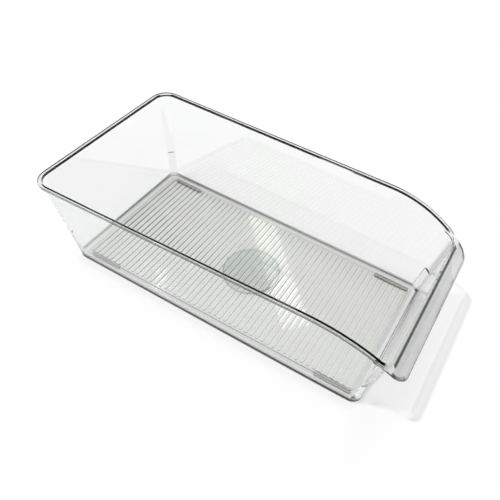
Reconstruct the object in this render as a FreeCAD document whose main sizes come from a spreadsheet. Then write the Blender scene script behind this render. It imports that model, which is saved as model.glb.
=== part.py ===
import FreeCAD, Part
import math
import os

import Sketcher
from FreeCAD import Placement, Rotation, Vector

# Clear fridge drawer bin. +X is across, +Y runs from the pull lip at the front to the back wall,
# +Z is up. The origin is on the surface it stands on, at the middle of its overall length and width.

doc = FreeCAD.newDocument("FridgeDrawerBin")
sizes = doc.addObject("Spreadsheet::Sheet", "Sizes")

DRIVING_SIZES = [
    # floor and mouth, measured on the inner faces of the walls
    ("floorLength", 321.5, "inner floor, front to back"),
    ("floorWidthBack", 160.4, "inner floor width at the back wall"),
    ("floorWidthBend", 153.4, "inner floor width where the rim starts to drop"),
    ("floorBendRadius", 3000, "plan curve of the sides ahead of that point, at the floor"),
    ("floorCorner", 7.6, "plan radius of the floor's corners"),
    ("mouthWidthBack", 190, "inner mouth width at the back wall"),
    ("mouthWidthBend", 173.4, "inner mouth width where the rim starts to drop"),
    ("mouthBendRadius", 828, "plan curve of the sides ahead of that point, at the rim"),
    ("mouthCorner", 14.5, "plan radius of the mouth's back corners"),
    ("frontCorner", 8, "plan radius of the mouth's front corners"),
    ("innerDepth", 101.2, "floor to rim at the back and sides"),
    ("frontHeight", 75.8, "floor to rim at the front wall"),
    ("dropLength", 72.2, "length over which the rim curves down to the front"),
    ("backLean", 15.3, "how far the back wall leans out over the inner depth"),
    ("frontLean", 17.6, "how far the front wall leans out over the inner depth"),
    # material
    ("wall", 2.2, "side, back and front walls"),
    ("floorThickness", 2.4, "floor"),
    ("baseEdge", 5.5, "upright foot of the walls, below where they start to lean"),
    ("baseRound", 4.5, "outer edge round the base"),
    ("floorRound", 3, "inner edge round the floor"),
    # rim bead and pull lip
    ("rimWidth", 4, "rim bead across its top"),
    ("frontRimWidth", 2.6, "rim bead along the front wall"),
    ("rimThickness", 3, "rim bead from top to underside"),
    ("lipReach", 13.2, "pull lip ahead of the rim bead"),
    ("lipDrop", 12, "pull lip below its root at the rim bead"),
    ("lipRadius", 60, "curve of the pull lip, seen from the side"),
    ("lipStep", 0.8, "rim bead above the pull lip"),
    ("lipThickness", 2.4, "pull lip"),
    ("lipRootWidth", 169.6, "pull lip where it leaves the sides"),
    ("lipTipWidth", 162.2, "pull lip along its free edge"),
    ("lipRoot", 14, "how far the lip runs back under the rim bead"),
    ("lipCorner", 9, "plan radius of the lip's corners"),
    # stacking ribs in the four corners
    ("stackRibWidth", 9, "facet across the corner"),
    ("stackRibHeight", 31, "above the floor"),
    ("stackRibReach", 4.4, "facet from the sharp point of the corner"),
    # drop-in ribbed floor panel
    ("linerInset", 7, "panel edge from the edge of the floor"),
    ("linerThickness", 1.2, "panel below its ribs"),
    ("linerCorner", 5, "plan radius of the panel's corners"),
    ("linerGap", 0.2, "between panel and floor"),
    ("ribPitch", 6, "from rib to rib"),
    ("ribWidth", 3.2, "each rib"),
    ("ribHeight", 1, "each rib above the panel"),
    ("ribCorner", 1, "cut corners at the ends of each rib"),
    ("ribMargin", 2, "ribs from the edge of the panel"),
    # feet and disc under the floor
    ("footHeight", 1.5, "feet below the base"),
    ("footLength", 36.6, "each foot strip"),
    ("footWidth", 3.8, "each foot strip"),
    ("footSeat", 0.7, "feet sunk into the base"),
    ("footInset", 8, "middle line of a foot from the side of the floor"),
    ("backFootSetback", 30.4, "middle of the back feet from the back of the floor"),
    ("frontFootSetback", 27, "middle of the front feet from the front of the floor"),
    ("discDiameter", 59.4, "round disc under the floor"),
    ("discThickness", 0.8, "disc"),
    ("discSeat", 0.4, "disc sunk into the base"),
    ("seatClearance", 0.05, "round the feet and the disc in their seats"),
]
for row, (alias, value, note) in enumerate(DRIVING_SIZES, start=1):
    sizes.set(f"A{row}", note)
    sizes.set(f"B{row}", str(value))
    sizes.setAlias(f"B{row}", alias)
doc.recompute()


def value_of(expression):
    return float(sizes.evalExpression(str(expression)))


# Heights, and places along Y, that several pieces share.
FLOOR_Z = "(Sizes.footHeight + Sizes.floorThickness)"
RIM_Z = f"({FLOOR_Z} + Sizes.innerDepth)"
CREASE_Z = f"({FLOOR_Z} + Sizes.frontHeight)"
LEAN_Z = "(Sizes.footHeight + Sizes.baseEdge)"
FRONT_OUT = f"(Sizes.frontLean * ({CREASE_Z} - {LEAN_Z}) / ({RIM_Z} - {LEAN_Z}))"
OVERALL_LENGTH = (
    "(Sizes.floorLength + Sizes.backLean + Sizes.rimWidth"
    f" + {FRONT_OUT} + Sizes.frontRimWidth + Sizes.lipReach)"
)
FLOOR_BACK = f"({OVERALL_LENGTH} / 2 - Sizes.rimWidth - Sizes.backLean)"
FLOOR_FRONT = f"({FLOOR_BACK} - Sizes.floorLength)"
MOUTH_BACK = f"({FLOOR_BACK} + Sizes.backLean)"
MOUTH_FRONT = f"({FLOOR_FRONT} - Sizes.frontLean)"
CREASE_Y = f"({FLOOR_FRONT} - {FRONT_OUT} - Sizes.frontRimWidth)"
BEND_Y = f"({CREASE_Y} + Sizes.dropLength)"
LIP_TIP_Y = f"({CREASE_Y} - Sizes.lipReach)"
DROP = "(Sizes.innerDepth - Sizes.frontHeight)"

# The two plan outlines of the walls' inner faces: at the floor, up to where they start to lean,
# and in the plane of the rim. Half widths are at the back wall and where the rim starts to drop.
FLOOR_LEVEL = {
    "back_half": "Sizes.floorWidthBack / 2",
    "bend_half": "Sizes.floorWidthBend / 2",
    "bend_radius": "Sizes.floorBendRadius",
    "back": FLOOR_BACK,
    "front": FLOOR_FRONT,
    "back_corner": "Sizes.floorCorner",
    "front_corner": "Sizes.floorCorner",
}
MOUTH_LEVEL = {
    "back_half": "Sizes.mouthWidthBack / 2",
    "bend_half": "Sizes.mouthWidthBend / 2",
    "bend_radius": "Sizes.mouthBendRadius",
    "back": MOUTH_BACK,
    "front": MOUTH_FRONT,
    "back_corner": "Sizes.mouthCorner",
    "front_corner": "Sizes.frontCorner",
}


def new_body(name):
    body = doc.addObject("PartDesign::Body", name)
    body.Label = name
    return body


def new_sketch(body, name, plane="XY_Plane", z=None):
    sketch = body.newObject("Sketcher::SketchObject", name)
    origin_plane = next(f for f in body.Origin.OriginFeatures if f.Role == plane)
    sketch.AttachmentSupport = (origin_plane, [""])
    sketch.MapMode = "FlatFace"
    if z is not None:
        sketch.setExpression("AttachmentOffset.Base.z", z)
    return sketch


def measure(sketch, kind, *where, expression):
    """Adds a dimension whose size is an expression on the sheet."""
    index = sketch.addConstraint(Sketcher.Constraint(kind, *where, value_of(expression)))
    sketch.setExpression(f"Constraints[{index}]", expression)


ORIGIN = (-1, 1)  # the sketch's own origin, as Sketcher names it


def draw_outline(sketch, level, grow="0", front_grow=None, corner=None):
    """Plan outline of the bin at one level, moved outwards by grow. Each side is straight from the
    back corner to the bend point and then a large arc to the front corner."""
    front_grow = front_grow or grow
    half, bend = f"({level['back_half']} + {grow})", f"({level['bend_half']} + {grow})"
    back, front = f"({level['back']} + {grow})", f"({level['front']} - {front_grow})"
    bend_radius = f"({level['bend_radius']} + {grow})"
    back_corner = corner or f"({level['back_corner']} + {grow})"
    front_corner = corner or f"({level['front_corner']} + {front_grow})"

    hb, hm, yb, ym = value_of(half), value_of(bend), value_of(back), value_of(BEND_Y)
    yf, big = value_of(front), value_of(bend_radius)
    rb, rf = value_of(back_corner), value_of(front_corner)
    lean = math.atan2(hb - hm, yb - ym)
    centre = Vector(hm - big * math.cos(lean), ym + big * math.sin(lean), 0)
    front_angle = math.asin((yf + rf - centre.y) / big)
    hf = centre.x + big * math.cos(front_angle)
    up = Vector(0, 0, 1)

    def arc(x, y, radius, start, end):
        return Part.ArcOfCircle(Part.Circle(Vector(x, y, 0), up, radius), start, end)

    def line(x1, y1, x2, y2):
        return Part.LineSegment(Vector(x1, y1, 0), Vector(x2, y2, 0))

    quarter = math.pi / 2
    right_side = sketch.addGeometry(line(hm, ym, hb, yb - rb))
    back_right = sketch.addGeometry(arc(hb - rb, yb - rb, rb, 0, quarter))
    back_line = sketch.addGeometry(line(hb - rb, yb, rb - hb, yb))
    back_left = sketch.addGeometry(arc(rb - hb, yb - rb, rb, quarter, 2 * quarter))
    left_side = sketch.addGeometry(line(-hb, yb - rb, -hm, ym))
    left_bend = sketch.addGeometry(
        arc(-centre.x, centre.y, big, 2 * quarter + lean, 2 * quarter - front_angle)
    )
    front_left = sketch.addGeometry(arc(rf - hf, yf + rf, rf, 2 * quarter, 3 * quarter))
    front_line = sketch.addGeometry(line(rf - hf, yf, hf - rf, yf))
    front_right = sketch.addGeometry(arc(hf - rf, yf + rf, rf, 3 * quarter, 4 * quarter))
    right_bend = sketch.addGeometry(arc(centre.x, centre.y, big, front_angle, -lean))
    ring = [
        right_side, back_right, back_line, back_left, left_side,
        left_bend, front_left, front_line, front_right, right_bend,
    ]
    sketch.addConstraint(
        [
            Sketcher.Constraint("Tangent", first, 2, second, 1)
            for first, second in zip(ring, ring[1:] + ring[:1])
        ]
        + [Sketcher.Constraint("Horizontal", back_line), Sketcher.Constraint("Horizontal", front_line)]
    )
    right_point = sketch.addGeometry(Part.Point(Vector(hb, yb, 0)), True)
    left_point = sketch.addGeometry(Part.Point(Vector(-hb, yb, 0)), True)
    for point, side in ((right_point, right_side), (left_point, left_side)):
        sketch.addConstraint(Sketcher.Constraint("PointOnObject", point, 1, back_line))
        sketch.addConstraint(Sketcher.Constraint("PointOnObject", point, 1, side))
    measure(sketch, "DistanceY", *ORIGIN, right_point, 1, expression=back)
    measure(sketch, "DistanceX", *ORIGIN, right_point, 1, expression=half)
    measure(sketch, "DistanceX", left_point, 1, *ORIGIN, expression=half)
    measure(sketch, "DistanceX", *ORIGIN, right_side, 1, expression=bend)
    measure(sketch, "DistanceY", *ORIGIN, right_side, 1, expression=BEND_Y)
    measure(sketch, "DistanceX", left_side, 2, *ORIGIN, expression=bend)
    measure(sketch, "DistanceY", *ORIGIN, left_side, 2, expression=BEND_Y)
    measure(sketch, "DistanceY", front_line, 1, *ORIGIN, expression=f"-{front}")
    for geometry, radius in (
        (back_right, back_corner), (back_left, back_corner),
        (front_left, front_corner), (front_right, front_corner),
        (left_bend, bend_radius), (right_bend, bend_radius),
    ):
        measure(sketch, "Radius", geometry, expression=radius)


def loft_walls(name, bottom_z, grow, front_grow=None, edge_round=None):
    """Solid inside the leaning walls, moved outwards by grow. With edge_round it also has the upright
    foot of the walls, down to bottom_z, with that radius round its lower edge."""
    body = new_body(name)
    high = new_sketch(body, name + "_high", z=RIM_Z)
    draw_outline(high, MOUTH_LEVEL, grow, front_grow)
    low = new_sketch(body, name + "_low", z=LEAN_Z if edge_round else bottom_z)
    draw_outline(low, FLOOR_LEVEL, grow, front_grow)
    if edge_round:
        foot = new_sketch(body, name + "_foot", z=bottom_z)
        draw_outline(foot, FLOOR_LEVEL, grow, front_grow)
        pad(body, foot, f"{LEAN_Z} - {bottom_z}")
        round_flat_edges(body, bottom_z, edge_round)
    loft = body.newObject("PartDesign::AdditiveLoft", name + "_loft")
    loft.Profile = high
    loft.Sections = [low]
    loft.Ruled = True
    doc.recompute()
    return body


def edges_where(shape, wanted):
    return [f"Edge{i}" for i, edge in enumerate(shape.Edges, start=1) if wanted(edge)]


def round_flat_edges(body, z, radius):
    """Rounds every edge of the body that lies flat at height z."""
    level = value_of(z)
    base = body.Tip
    names = edges_where(
        base.Shape,
        lambda edge: abs(edge.BoundBox.ZMin - level) < 0.01 and abs(edge.BoundBox.ZMax - level) < 0.01,
    )
    fillet = body.newObject("PartDesign::Fillet", body.Name + "_round")
    fillet.Base = (base, names)
    fillet.setExpression("Radius", radius)
    doc.recompute()


def pad(body, sketch, length, both_ways=False, downwards=False):
    feature = body.newObject("PartDesign::Pad", sketch.Name + "_pad")
    feature.Profile = sketch
    feature.SideType = "Symmetric" if both_ways else "One side"
    feature.Reversed = downwards
    feature.setExpression("Length", length)
    doc.recompute()
    return feature


# Bin shell: the walls are a lofted block, hollowed by a second loft, with a bead round the mouth.

wall_form = loft_walls("wall_form", "Sizes.footHeight", "Sizes.wall", edge_round="Sizes.baseRound")
cavity_form = loft_walls("cavity_form", FLOOR_Z, "0", edge_round="Sizes.floorRound")
opening = new_sketch(cavity_form, "cavity_opening", z=RIM_Z)
draw_outline(opening, MOUTH_LEVEL)
pad(cavity_form, opening, "Sizes.rimThickness")

rim_form = loft_walls("rim_form", "Sizes.footHeight", "Sizes.rimWidth", "Sizes.frontRimWidth")


# Side views are drawn in the YZ plane, where a sketch's X is the bin's Y and its Y is the height.
PAST_END = f"({OVERALL_LENGTH} / 2 + Sizes.rimWidth)"
DROP_RADIUS = f"((Sizes.dropLength ^ 2 + {DROP} ^ 2) / (2 * {DROP}))"
DROP_RUN = "(Sizes.dropLength + Sizes.rimThickness)"
FULL_WIDTH = "(Sizes.mouthWidthBack + 4 * Sizes.rimWidth)"


def add_line(sketch, start, end):
    return sketch.addGeometry(Part.LineSegment(Vector(*start, 0), Vector(*end, 0)))


def add_arc(sketch, centre, radius, start, end):
    circle = Part.Circle(Vector(*centre, 0), Vector(0, 0, 1), radius)
    return sketch.addGeometry(Part.ArcOfCircle(circle, start, end))


def draw_drop(sketch, below):
    """The rim line, lowered by the depth below: flat from the back wall to the bend, then the arc
    down to the front and a little past it. Returns the flat line and the arc."""
    depth, radius = value_of(below), value_of(DROP_RADIUS)
    bend, height = value_of(BEND_Y), value_of(RIM_Z) - depth
    sweep = math.asin(value_of(DROP_RUN) / radius)
    flat = add_line(sketch, (value_of(PAST_END), height), (bend, height))
    arc = add_arc(
        sketch, (bend, height - radius + depth), radius - depth, math.pi / 2, math.pi / 2 + sweep
    )
    sketch.addConstraint(Sketcher.Constraint("Horizontal", flat))
    sketch.addConstraint(Sketcher.Constraint("Tangent", flat, 2, arc, 1))
    measure(sketch, "DistanceX", *ORIGIN, flat, 1, expression=PAST_END)
    measure(sketch, "DistanceX", *ORIGIN, flat, 2, expression=BEND_Y)
    measure(sketch, "DistanceY", *ORIGIN, flat, 2, expression=f"{RIM_Z} - {below}")
    measure(sketch, "Radius", arc, expression=f"{DROP_RADIUS} - {below}")
    end = f"{BEND_Y} - {DROP_RUN} * ({DROP_RADIUS} - {below}) / {DROP_RADIUS}"
    measure(sketch, "DistanceX", *ORIGIN, arc, 2, expression=end)
    return flat, arc


def point_of(sketch, geometry, which):
    point = sketch.getPoint(geometry, which)
    return point.x, point.y


def join(sketch, start, end):
    """A line from one named point to another, fixed to both."""
    line = add_line(sketch, point_of(sketch, *start), point_of(sketch, *end))
    sketch.addConstraint(Sketcher.Constraint("Coincident", line, 1, *start))
    sketch.addConstraint(Sketcher.Constraint("Coincident", line, 2, *end))
    return line


# The rim bead: a band that follows the rim line, kept where it lies inside the bead's plan outline.
rim_band = new_body("rim_band")
band_side = new_sketch(rim_band, "rim_band_side", plane="YZ_Plane")
top_flat, top_arc = draw_drop(band_side, "0")
low_flat, low_arc = draw_drop(band_side, "Sizes.rimThickness")
join(band_side, (low_flat, 1), (top_flat, 1))
join(band_side, (top_arc, 2), (low_arc, 2))
pad(rim_band, band_side, FULL_WIDTH, both_ways=True)

rim_bead = doc.addObject("Part::Common", "rim_bead")
rim_bead.Base = rim_band
rim_bead.Tool = rim_form

# What the walls lose above the middle of the bead.
above_rim = new_body("above_rim")
above_side = new_sketch(above_rim, "above_rim_side", plane="YZ_Plane")
trim_flat, trim_arc = draw_drop(above_side, "Sizes.rimThickness / 2")
ceiling = value_of(f"{RIM_Z} + Sizes.rimThickness")
front_limit = -value_of(PAST_END)
trim_end = point_of(above_side, trim_arc, 2)
ahead = add_line(above_side, trim_end, (front_limit, trim_end[1]))
rise = add_line(above_side, (front_limit, trim_end[1]), (front_limit, ceiling))
over = add_line(above_side, (front_limit, ceiling), (value_of(PAST_END), ceiling))
above_side.addConstraint(Sketcher.Constraint("Coincident", ahead, 1, trim_arc, 2))
above_side.addConstraint(Sketcher.Constraint("Coincident", rise, 1, ahead, 2))
above_side.addConstraint(Sketcher.Constraint("Coincident", over, 1, rise, 2))
for level_line in (ahead, over):
    above_side.addConstraint(Sketcher.Constraint("Horizontal", level_line))
above_side.addConstraint(Sketcher.Constraint("Vertical", rise))
back_rise = join(above_side, (over, 2), (trim_flat, 1))
above_side.addConstraint(Sketcher.Constraint("Vertical", back_rise))
measure(above_side, "DistanceX", rise, 1, *ORIGIN, expression=PAST_END)
measure(above_side, "DistanceY", *ORIGIN, over, 1, expression=f"{RIM_Z} + Sizes.rimThickness")
pad(above_rim, above_side, FULL_WIDTH, both_ways=True)

walls = doc.addObject("Part::Cut", "walls")
walls.Base = wall_form
walls.Tool = above_rim

# The pull lip: a curved band that leaves the front of the bead and turns down to its free edge.
LIP_START_Z = f"({CREASE_Z} - Sizes.lipStep)"
lip_band = new_body("lip_band")
lip_side = new_sketch(lip_band, "lip_band_side", plane="YZ_Plane")
start = Vector(value_of(CREASE_Y), value_of(LIP_START_Z), 0)
tip = Vector(value_of(LIP_TIP_Y), value_of(f"{LIP_START_Z} - Sizes.lipDrop"), 0)
lip_radius = value_of("Sizes.lipRadius")
chord = tip - start
inward = Vector(-chord.y, chord.x, 0).normalize()
lip_centre = (start + tip) / 2 + inward * math.sqrt(lip_radius ** 2 - chord.Length ** 2 / 4)
root_angle = math.acos((start.x + value_of("Sizes.lipRoot") - lip_centre.x) / lip_radius)
tip_angle = math.atan2(tip.y - lip_centre.y, tip.x - lip_centre.x)
middle = (lip_centre.x, lip_centre.y)
lip_top = add_arc(lip_side, middle, lip_radius, root_angle, tip_angle)
lip_under = add_arc(
    lip_side, middle, lip_radius - value_of("Sizes.lipThickness"), root_angle, tip_angle
)
lip_edge = join(lip_side, (lip_top, 2), (lip_under, 2))
root_line = join(lip_side, (lip_under, 1), (lip_top, 1))
crease = lip_side.addGeometry(Part.Point(start), True)
lip_side.addConstraint(
    [
        Sketcher.Constraint("Coincident", lip_top, 3, lip_under, 3),
        Sketcher.Constraint("PointOnObject", lip_top, 3, lip_edge),
        Sketcher.Constraint("Vertical", root_line),
        Sketcher.Constraint("PointOnObject", crease, 1, lip_top),
    ]
)
measure(lip_side, "DistanceX", *ORIGIN, crease, 1, expression=CREASE_Y)
measure(lip_side, "DistanceY", *ORIGIN, crease, 1, expression=LIP_START_Z)
measure(lip_side, "DistanceX", *ORIGIN, lip_top, 2, expression=LIP_TIP_Y)
measure(lip_side, "DistanceY", *ORIGIN, lip_top, 2, expression=f"{LIP_START_Z} - Sizes.lipDrop")
measure(lip_side, "DistanceX", *ORIGIN, lip_top, 1, expression=f"{CREASE_Y} + Sizes.lipRoot")
measure(lip_side, "Radius", lip_top, expression="Sizes.lipRadius")
measure(lip_side, "Radius", lip_under, expression="Sizes.lipRadius - Sizes.lipThickness")
pad(lip_band, lip_side, FULL_WIDTH, both_ways=True)

lip_form = new_body("lip_form")
lip_plan = new_sketch(lip_form, "lip_plan")
root_half, tip_half = value_of("Sizes.lipRootWidth / 2"), value_of("Sizes.lipTipWidth / 2")
root_y, tip_y = value_of(f"{CREASE_Y} + Sizes.lipRoot"), value_of(LIP_TIP_Y)
corner = value_of("Sizes.lipCorner")
root = add_line(lip_plan, (root_half, root_y), (-root_half, root_y))
left = add_line(lip_plan, (-root_half, root_y), (-tip_half, tip_y + corner))
left_corner = add_arc(
    lip_plan, (corner - tip_half, tip_y + corner), corner, math.pi, 1.5 * math.pi
)
free_edge = add_line(lip_plan, (corner - tip_half, tip_y), (tip_half - corner, tip_y))
right_corner = add_arc(
    lip_plan, (tip_half - corner, tip_y + corner), corner, 1.5 * math.pi, 2 * math.pi
)
right = add_line(lip_plan, (tip_half, tip_y + corner), (root_half, root_y))
left_tip = lip_plan.addGeometry(Part.Point(Vector(-tip_half, tip_y, 0)), True)
right_tip = lip_plan.addGeometry(Part.Point(Vector(tip_half, tip_y, 0)), True)
lip_plan.addConstraint(
    [
        Sketcher.Constraint("Coincident", root, 2, left, 1),
        Sketcher.Constraint("Tangent", left, 2, left_corner, 1),
        Sketcher.Constraint("Tangent", left_corner, 2, free_edge, 1),
        Sketcher.Constraint("Tangent", free_edge, 2, right_corner, 1),
        Sketcher.Constraint("Tangent", right_corner, 2, right, 1),
        Sketcher.Constraint("Coincident", right, 2, root, 1),
        Sketcher.Constraint("Horizontal", root),
        Sketcher.Constraint("Horizontal", free_edge),
        Sketcher.Constraint("PointOnObject", left_tip, 1, left),
        Sketcher.Constraint("PointOnObject", left_tip, 1, free_edge),
        Sketcher.Constraint("PointOnObject", right_tip, 1, right),
        Sketcher.Constraint("PointOnObject", right_tip, 1, free_edge),
    ]
)
measure(lip_plan, "DistanceX", *ORIGIN, root, 1, expression="Sizes.lipRootWidth / 2")
measure(lip_plan, "DistanceX", root, 2, *ORIGIN, expression="Sizes.lipRootWidth / 2")
measure(lip_plan, "DistanceY", *ORIGIN, root, 1, expression=f"{CREASE_Y} + Sizes.lipRoot")
measure(lip_plan, "DistanceX", *ORIGIN, right_tip, 1, expression="Sizes.lipTipWidth / 2")
measure(lip_plan, "DistanceX", left_tip, 1, *ORIGIN, expression="Sizes.lipTipWidth / 2")
measure(lip_plan, "DistanceY", *ORIGIN, right_tip, 1, expression=LIP_TIP_Y)
measure(lip_plan, "Radius", left_corner, expression="Sizes.lipCorner")
measure(lip_plan, "Radius", right_corner, expression="Sizes.lipCorner")
pad(lip_form, lip_plan, RIM_Z)

pull_lip = doc.addObject("Part::Common", "pull_lip")
pull_lip.Base = lip_band
pull_lip.Tool = lip_form

solid_bin = doc.addObject("Part::MultiFuse", "solid_bin")
solid_bin.Shapes = [walls, rim_bead, pull_lip]


def half_width_at(level, y, ahead_of_bend=False):
    """Half the width between the side walls at a place along Y."""
    half = (
        f"({level['back_half']} - ({level['back_half']} - {level['bend_half']})"
        f" * ({level['back']} - {y}) / ({level['back']} - {BEND_Y}))"
    )
    if ahead_of_bend:
        half = f"({half} - ({BEND_Y} - {y}) ^ 2 / (2 * {level['bend_radius']}))"
    return half


# Stacking ribs: a flat facet across each corner, which leans with the corner and stops level. They
# are cut out of the cavity, so that they stay behind as part of the walls.
FRONT_FLOOR_HALF = half_width_at(FLOOR_LEVEL, FLOOR_FRONT, True)
FRONT_MOUTH_HALF = half_width_at(MOUTH_LEVEL, MOUTH_FRONT, True)
RISE = f"(({FLOOR_Z} + Sizes.stackRibHeight - {LEAN_Z}) / ({RIM_Z} - {LEAN_Z}))"
BACK_SPREAD = "((Sizes.mouthWidthBack - Sizes.floorWidthBack) / 2)"
FRONT_SPREAD = f"({FRONT_MOUTH_HALF} - {FRONT_FLOOR_HALF})"
CORNERS = [
    # name, turn from +X, half width and place of the corner's sharp point, its lean to the top
    ("back_right", 45, "Sizes.floorWidthBack / 2", FLOOR_BACK, BACK_SPREAD, "Sizes.backLean"),
    ("back_left", 135, "Sizes.floorWidthBack / 2", FLOOR_BACK, BACK_SPREAD, "Sizes.backLean"),
    ("front_left", 225, FRONT_FLOOR_HALF, FLOOR_FRONT, FRONT_SPREAD, "Sizes.frontLean"),
    ("front_right", 315, FRONT_FLOOR_HALF, FLOOR_FRONT, FRONT_SPREAD, "Sizes.frontLean"),
]
UPRIGHT = Rotation(Vector(1, 0, 0), 90)  # turns a wedge's height from Y to Z
stack_ribs = []
for name, turn, corner_half, corner_y, spread, lean in CORNERS:
    side = 1 if "right" in name else -1
    end = 1 if "back" in name else -1
    rib = doc.addObject("Part::Wedge", "stack_rib_" + name)
    rib.Placement.Rotation = Rotation(Vector(0, 0, 1), turn) * UPRIGHT
    out = f"({RISE} * ({spread} + {lean}) / sqrt(2))"
    across = f"({side * end} * {RISE} * ({lean} - {spread}) / sqrt(2))"
    half_rib = "Sizes.stackRibWidth / 2"
    depth = "(2 * Sizes.stackRibReach)"
    for property_name, expression in (
        ("Xmin", "0"), ("Xmax", depth), ("X2min", out), ("X2max", f"{out} + {depth}"),
        ("Ymin", "0"), ("Ymax", "Sizes.stackRibHeight"),
        ("Zmin", f"-{half_rib}"), ("Zmax", half_rib),
        ("Z2min", f"-{half_rib} - {across}"), ("Z2max", f"{half_rib} - {across}"),
        ("Placement.Base.x", f"{side} * ({corner_half} - Sizes.stackRibReach / sqrt(2))"),
        ("Placement.Base.y", f"{corner_y} - {end} * Sizes.stackRibReach / sqrt(2)"),
        ("Placement.Base.z", FLOOR_Z),
    ):
        rib.setExpression(property_name, expression)
    stack_ribs.append(rib)

rib_group = doc.addObject("Part::MultiFuse", "stack_ribs")
rib_group.Shapes = stack_ribs
cavity = doc.addObject("Part::Cut", "cavity")
cavity.Base = cavity_form
cavity.Tool = rib_group
doc.recompute()


# Foot strips and their seats: straight bars with round ends, parallel to the long sides.

def draw_slot(sketch, length, width):
    """A bar along Y with half-round ends, centred on the origin."""
    half, radius = value_of(f"({length} - {width}) / 2"), value_of(f"{width} / 2")
    right = add_line(sketch, (radius, -half), (radius, half))
    back = add_arc(sketch, (0, half), radius, 0, math.pi)
    left = add_line(sketch, (-radius, half), (-radius, -half))
    front = add_arc(sketch, (0, -half), radius, math.pi, 2 * math.pi)
    ring = [right, back, left, front]
    sketch.addConstraint(
        [
            Sketcher.Constraint("Tangent", first, 2, second, 1)
            for first, second in zip(ring, ring[1:] + ring[:1])
        ]
    )
    sketch.addConstraint(Sketcher.Constraint("PointOnObject", back, 3, -2))
    sketch.addConstraint(Sketcher.Constraint("PointOnObject", front, 3, -2))
    measure(sketch, "Radius", back, expression=f"{width} / 2")
    measure(sketch, "DistanceY", *ORIGIN, back, 3, expression=f"({length} - {width}) / 2")
    measure(sketch, "DistanceY", front, 3, *ORIGIN, expression=f"({length} - {width}) / 2")


TAPER = f"atan((Sizes.floorWidthBack - Sizes.floorWidthBend) / 2 / ({FLOOR_BACK} - {BEND_Y}))"


def bar_body(name, side, y, half_width, bottom, height, grow):
    body = new_body(name)
    sketch = new_sketch(body, name + "_plan", z=bottom)
    draw_slot(sketch, f"(Sizes.footLength + 2 * {grow})", f"(Sizes.footWidth + 2 * {grow})")
    pad(body, sketch, height)
    body.Placement = Placement(Vector(), Rotation(Vector(0, 0, 1), 1))
    body.setExpression("Placement.Rotation.Angle", f"{-side} * {TAPER}")
    body.setExpression("Placement.Base.x", f"{side} * ({half_width} - Sizes.footInset)")
    body.setExpression("Placement.Base.y", y)
    return body


BACK_FOOT_Y = f"({FLOOR_BACK} - Sizes.backFootSetback)"
FRONT_FOOT_Y = f"({FLOOR_FRONT} + Sizes.frontFootSetback)"
feet, foot_seats = [], []
for end, foot_y in (("back", BACK_FOOT_Y), ("front", FRONT_FOOT_Y)):
    half_width = half_width_at(FLOOR_LEVEL, foot_y, ahead_of_bend=end == "front")
    for side_name, side in (("left", -1), ("right", 1)):
        name = f"foot_{end}_{side_name}"
        foot = bar_body(
            name, side, foot_y, half_width, "0", "Sizes.footHeight + Sizes.footSeat", "0"
        )
        feet.append(foot)
        foot_seats.append(
            bar_body(
                name + "_seat", side, foot_y, half_width, "0",
                "Sizes.footHeight + Sizes.footSeat + Sizes.seatClearance", "Sizes.seatClearance",
            )
        )

DISC_BOTTOM = "(Sizes.footHeight + Sizes.discSeat - Sizes.discThickness)"
base_disc = doc.addObject("Part::Cylinder", "base_disc")
base_disc.setExpression("Radius", "Sizes.discDiameter / 2")
base_disc.setExpression("Height", "Sizes.discThickness")
base_disc.setExpression("Placement.Base.z", DISC_BOTTOM)
disc_seat = doc.addObject("Part::Cylinder", "disc_seat")
disc_seat.setExpression("Radius", "Sizes.discDiameter / 2 + Sizes.seatClearance")
disc_seat.setExpression("Height", "Sizes.discThickness + Sizes.seatClearance")
disc_seat.setExpression("Placement.Base.z", DISC_BOTTOM)

hollows = doc.addObject("Part::MultiFuse", "hollows")
hollows.Shapes = [cavity, disc_seat] + foot_seats
bin_shell = doc.addObject("Part::Cut", "bin_shell")
bin_shell.Base = solid_bin
bin_shell.Tool = hollows
doc.recompute()


# Drop-in floor panel: its ribs get shorter with the bin's taper, so each is drawn to its own length,
# which a linear pattern of one rib can't do.

floor_panel = new_body("floor_panel")
panel_plan = new_sketch(floor_panel, "floor_panel_plan", z=f"{FLOOR_Z} + Sizes.linerGap")
draw_outline(panel_plan, FLOOR_LEVEL, grow="(-Sizes.linerInset)", corner="Sizes.linerCorner")
pad(floor_panel, panel_plan, "Sizes.linerThickness")


def rib_bar(y, half_length, width, bottom, height):
    """One rib across the panel, with the corners cut off its ends."""
    cut = value_of("Sizes.ribCorner")
    half_width = width / 2
    corners = [
        (half_length, half_width - cut), (half_length - cut, half_width),
        (cut - half_length, half_width), (-half_length, half_width - cut),
        (-half_length, cut - half_width), (cut - half_length, -half_width),
        (half_length - cut, -half_width), (half_length, cut - half_width),
    ]
    outline = Part.makePolygon([Vector(x, y + dy, bottom) for x, dy in corners + corners[:1]])
    return Part.Face(outline).extrude(Vector(0, 0, height))


def all_ribs():
    margin = value_of("Sizes.linerInset + Sizes.ribMargin")
    pitch, width = value_of("Sizes.ribPitch"), value_of("Sizes.ribWidth")
    front, back = value_of(FLOOR_FRONT) + margin, value_of(FLOOR_BACK) - margin
    gaps = math.floor((back - front - width) / pitch)
    first = (front + back - gaps * pitch) / 2
    sunk = value_of("Sizes.linerThickness / 2")
    bottom = value_of(f"{FLOOR_Z} + Sizes.linerGap + Sizes.linerThickness") - sunk
    bend = value_of(BEND_Y)
    ribs = []
    for index in range(gaps + 1):
        y = first + index * pitch
        half = value_of(half_width_at(FLOOR_LEVEL, y, ahead_of_bend=y < bend)) - margin
        ribs.append(rib_bar(y, half, width, bottom, sunk + value_of("Sizes.ribHeight")))
    return Part.makeCompound(ribs)


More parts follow.
